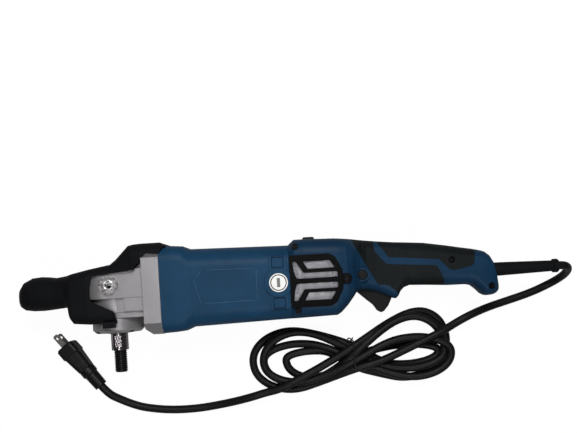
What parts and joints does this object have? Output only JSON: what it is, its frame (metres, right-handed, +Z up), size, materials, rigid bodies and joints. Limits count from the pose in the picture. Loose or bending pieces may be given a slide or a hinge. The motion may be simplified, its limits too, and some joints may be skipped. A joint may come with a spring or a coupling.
{
  "type": "rotary polisher",
  "caption": "Corded right-angle rotary polisher with rubber-hooded gear head, threaded spindle, barrel motor, vented rear handle with trigger, and mains lead.",
  "frame": {"origin": "on the spindle axis, in the plane of the spindle's shoulder where a backing plate seats", "axes": "+X runs along the motor towards the cord, -Y along the spindle towards its threaded tip, +Z up from the floor with the tool lying on its side"},
  "size_m": [0.6012, 0.1916, 0.088],
  "materials": {
    "gear_case_paint": "sand cast, painted light grey",
    "gear_steel": "case hardened",
    "bright_steel": "turned and ground",
    "spring_steel": "drawn wire",
    "black_screws": "black oxide",
    "lamination_steel": "stacked sheet",
    "copper": "enamelled copper",
    "brush_brass": "pressed sheet",
    "carbon": "pressed carbon",
    "motor_blue": "moulded, satin",
    "housing_blue": "moulded, satin",
    "black_rubber": "matte, fine grained",
    "black_plastic": "satin",
    "grille_black": "polished",
    "wire_mesh": "woven wire",
    "cap_white": "moulded",
    "circuit_board": "lacquered",
    "cord_jacket": "matte",
    "plug_plastic": "moulded, satin",
    "plug_metal": "nickel plated",
    "tie_wire": "coated wire"
  },
  "bodies": {
    "housing": {"gear_housing": "gear_case_paint", "bearing_box": "gear_case_paint", "bearing_box_screws": "black_screws", "spindle_bearing": "bright_steel", "spindle_bush": "bright_steel", "spindle_lock_spring": "spring_steel", "front_flange": "gear_case_paint", "flange_screws": "black_screws", "motor_housing": "motor_blue", "front_motor_bearing": "bright_steel", "rear_motor_bearing": "bright_steel", "stator_core": "lamination_steel", "field_coils": "copper", "air_baffle": "black_plastic", "brush_holders": "brush_brass", "carbon_brushes": "carbon", "brush_springs": "spring_steel", "brush_caps": "cap_white", "handle_grip_left": "black_rubber", "handle_grip_right": "black_rubber", "rear_housing_left": "housing_blue", "rear_housing_right": "housing_blue", "housing_screws": "black_screws", "grille_frame_left": "grille_black", "grille_frame_right": "grille_black", "grille_mesh_left": "wire_mesh", "grille_mesh_right": "wire_mesh", "grille_screws": "black_screws", "trigger_pin": "bright_steel", "trigger_spring": "spring_steel", "power_switch": "black_plastic", "lock_on_spring": "spring_steel", "speed_control": "circuit_board", "head_hood": "black_rubber", "hood_screws": "black_screws", "cord_guard": "black_rubber", "cord_clamp": "black_plastic", "cord_clamp_screws": "black_screws", "inner_lead": "cord_jacket", "power_cord_tool_end": "cord_jacket", "power_cord_plug_end": "cord_jacket", "power_cord_hank": "cord_jacket", "cord_tie": "tie_wire", "plug_body": "plug_plastic", "plug_blades": "plug_metal"},
    "armature": {"armature_shaft": "bright_steel", "armature_core": "lamination_steel", "armature_windings": "copper", "commutator": "copper", "cooling_fan": "black_plastic", "pinion": "gear_steel"},
    "spindle": {"spindle": "bright_steel", "ring_gear": "gear_steel", "spindle_circlip": "bright_steel", "dust_ring": "black_rubber"},
    "trigger": {"trigger": "black_plastic"},
    "lock_on_button": {"lock_on_button": "black_plastic"},
    "spindle_lock": {"spindle_lock_button": "black_plastic", "spindle_lock_pin": "bright_steel"},
    "speed_dial": {"speed_dial": "black_plastic"}
  },
  "joints": [
    {"name": "armature_spin", "type": "hinge", "parent": "housing", "child": "armature", "pos_m": [0.1, 0.062, 0], "axis": [1, 0, 0], "continuous": true},
    {"name": "spindle_spin", "type": "hinge", "parent": "housing", "child": "spindle", "pos_m": [0, 0, 0], "axis": [0, 1, 0], "continuous": true},
    {"name": "trigger_pull", "type": "hinge", "parent": "housing", "child": "trigger", "pos_m": [0.262, 0.0534, 0], "axis": [0, 0, 1], "range_deg": [0, 6], "stiffness_Nm_per_rad": 2, "springref_deg": -4.58, "deforming": ["trigger_spring"]},
    {"name": "lock_on_press", "type": "slide", "parent": "housing", "child": "lock_on_button", "axis": [0, 0, -1], "range_m": [0, 0.0025], "stiffness_N_per_m": 700, "springref_m": -0.002, "deforming": ["lock_on_spring"]},
    {"name": "spindle_lock_press", "type": "slide", "parent": "housing", "child": "spindle_lock", "axis": [0, -1, 0], "range_m": [0, 0.0045], "stiffness_N_per_m": 700, "springref_m": -0.002, "deforming": ["spindle_lock_spring"]},
    {"name": "speed_dial_turn", "type": "hinge", "parent": "housing", "child": "speed_dial", "pos_m": [0.21, 0.1006, 0], "axis": [1, 0, 0], "range_deg": [0, 270]}
  ],
  "couplings": [
    {"joint": "spindle_spin", "follows": "armature_spin", "ratio": 0.2439}
  ]
}
